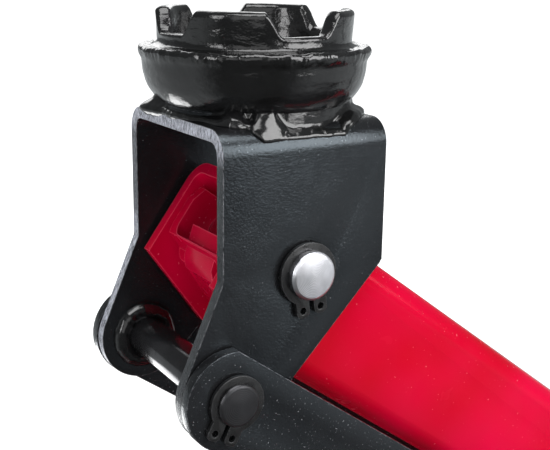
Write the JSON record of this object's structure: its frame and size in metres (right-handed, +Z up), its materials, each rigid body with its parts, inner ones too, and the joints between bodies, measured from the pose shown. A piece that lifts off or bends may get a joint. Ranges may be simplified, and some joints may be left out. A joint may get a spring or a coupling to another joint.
{
  "type": "trolley jack",
  "caption": "Hydraulic trolley jack: a parallel-linkage lift arm carries a level swivelling saddle, pumped and released by a rear handle, on wheels and swivel casters.",
  "frame": {"origin": "on the floor under the centre of the overall bounding box", "axes": "+X towards the saddle end along the jack's length, +Y the jack's left side and its shortest extent, +Z up"},
  "size_m": [0.9842, 0.252, 0.6045],
  "materials": {
    "red_paint": "glossy crimson paint",
    "black_paint": "satin black paint with a fine orange peel",
    "black_gloss": "glossy black paint over a rough forging",
    "black_oxide": "blackened steel",
    "bright_steel": "turned and zinc plated",
    "hard_chrome": "ground and chromed",
    "spring_steel": "wound wire",
    "seal_rubber": "soft black",
    "handle_paint": "satin black paint",
    "grip_rubber": "ribbed foam rubber",
    "wheel_iron": "painted cast wheel with a worn tread",
    "caster_zinc": "zinc plated pressing",
    "caster_tyre": "hard nylon"
  },
  "bodies": {
    "chassis": {"side_plate_left": "red_paint", "side_plate_right": "red_paint", "front_cross_tube": "red_paint", "front_axle": "bright_steel", "axle_collars": "bright_steel", "main_shaft": "bright_steel", "main_shaft_clips": "black_oxide", "shaft_spacers": "bright_steel", "link_bolts": "black_oxide", "rear_cross_plate": "red_paint", "top_cover": "red_paint", "pump_block": "black_paint", "mounting_bolts": "black_oxide", "reservoir": "black_paint", "ram_cylinder": "bright_steel", "gland_nut": "bright_steel", "filler_plug": "seal_rubber", "spring_anchors": "bright_steel", "return_springs": "spring_steel", "plunger_gland": "bright_steel", "plunger_spring": "spring_steel", "socket_bolts": "black_oxide"},
    "arm": {"lift_arm": "red_paint", "arm_pivot_tube": "red_paint", "arm_channel": "red_paint", "lever_pin": "bright_steel", "lever_pin_clips": "black_oxide"},
    "head": {"saddle_bracket": "black_paint", "saddle_boss": "black_paint", "upper_pin": "bright_steel", "lower_pin": "black_oxide", "head_pin_clips": "black_oxide"},
    "saddle": {"saddle": "black_gloss", "saddle_ring": "black_oxide"},
    "links": {"link_bar_left": "black_paint", "link_bar_right": "black_paint"},
    "ram": {"ram_rod": "hard_chrome", "ram_piston": "bright_steel", "piston_seal": "seal_rubber", "crosshead": "bright_steel", "spring_bar": "bright_steel"},
    "plunger": {"pump_plunger": "hard_chrome"},
    "valve": {"release_valve": "bright_steel"},
    "socket": {"handle_socket": "black_paint", "roller_pin": "bright_steel"},
    "roller": {"pump_roller": "bright_steel"},
    "handle": {"handle_tube_lower": "handle_paint", "handle_tube_upper": "handle_paint", "handle_grip": "grip_rubber", "tube_lock": "bright_steel", "release_spindle": "bright_steel"},
    "front_wheel_left": {"front_wheel_left": "wheel_iron"},
    "front_wheel_right": {"front_wheel_right": "wheel_iron"},
    "caster_left": {"caster_fork_left": "caster_zinc", "caster_axle_left": "caster_zinc"},
    "caster_right": {"caster_fork_right": "caster_zinc", "caster_axle_right": "caster_zinc"},
    "caster_wheel_left": {"caster_wheel_left": "caster_tyre"},
    "caster_wheel_right": {"caster_wheel_right": "caster_tyre"}
  },
  "joints": [
    {"name": "arm_lift", "type": "hinge", "parent": "chassis", "child": "arm", "pos_m": [0.07206, 0, 0.12], "axis": [0, -1, 0], "range_deg": [-39.1, 21.9]},
    {"name": "link_swing", "type": "hinge", "parent": "chassis", "child": "links", "pos_m": [0.10006, 0, 0.0836], "axis": [0, -1, 0], "range_deg": [-39.1, 21.9]},
    {"name": "bracket_level", "type": "hinge", "parent": "arm", "child": "head", "pos_m": [0.31446, 0, 0.29676], "axis": [0, -1, 0], "range_deg": [-21.9, 39.1]},
    {"name": "saddle_swivel", "type": "hinge", "parent": "head", "child": "saddle", "pos_m": [0.31446, 0, 0.29676], "axis": [0, 0, 1], "continuous": true},
    {"name": "ram_slide", "type": "slide", "parent": "chassis", "child": "ram", "axis": [1, 0, 0], "range_m": [-0.0432, 0.0243], "deforming": ["return_springs"]},
    {"name": "handle_pump", "type": "hinge", "parent": "chassis", "child": "socket", "pos_m": [-0.19794, 0, 0.112], "axis": [0, -1, 0], "range_deg": [-12, 28]},
    {"name": "roller_spin", "type": "hinge", "parent": "socket", "child": "roller", "pos_m": [-0.19794, 0, 0.084], "axis": [0, 1, 0], "continuous": true},
    {"name": "plunger_slide", "type": "slide", "parent": "chassis", "child": "plunger", "axis": [1, 0, 0], "range_m": [-0.0058, 0.0134], "deforming": ["plunger_spring"]},
    {"name": "handle_twist", "type": "hinge", "parent": "socket", "child": "handle", "pos_m": [-0.19794, 0, 0.112], "axis": [-0.5, 0, 0.866], "range_deg": [0, 120]},
    {"name": "valve_turn", "type": "hinge", "parent": "chassis", "child": "valve", "pos_m": [-0.19794, 0, 0.112], "axis": [-0.6157, 0, 0.788], "range_deg": [0, 120]},
    {"name": "front_wheel_spin_left", "type": "hinge", "parent": "chassis", "child": "front_wheel_left", "pos_m": [0.45206, 0.083, 0.04], "axis": [0, 1, 0], "continuous": true},
    {"name": "caster_swivel_left", "type": "hinge", "parent": "chassis", "child": "caster_left", "pos_m": [-0.18994, 0.104, 0.06], "axis": [0, 0, 1], "continuous": true},
    {"name": "caster_spin_left", "type": "hinge", "parent": "caster_left", "child": "caster_wheel_left", "pos_m": [-0.20594, 0.104, 0.022], "axis": [0, 1, 0], "continuous": true},
    {"name": "front_wheel_spin_right", "type": "hinge", "parent": "chassis", "child": "front_wheel_right", "pos_m": [0.45206, -0.083, 0.04], "axis": [0, 1, 0], "continuous": true},
    {"name": "caster_swivel_right", "type": "hinge", "parent": "chassis", "child": "caster_right", "pos_m": [-0.18994, -0.104, 0.06], "axis": [0, 0, 1], "continuous": true},
    {"name": "caster_spin_right", "type": "hinge", "parent": "caster_right", "child": "caster_wheel_right", "pos_m": [-0.20594, -0.104, 0.022], "axis": [0, 1, 0], "continuous": true}
  ],
  "couplings": [
    {"joint": "link_swing", "follows": "arm_lift", "ratio": 1},
    {"joint": "bracket_level", "follows": "arm_lift", "ratio": -1},
    {"joint": "ram_slide", "follows": "arm_lift", "m_per_rad": 0.0625},
    {"joint": "plunger_slide", "follows": "handle_pump", "m_per_rad": 0.027},
    {"joint": "valve_turn", "follows": "handle_twist", "ratio": 1}
  ]
}
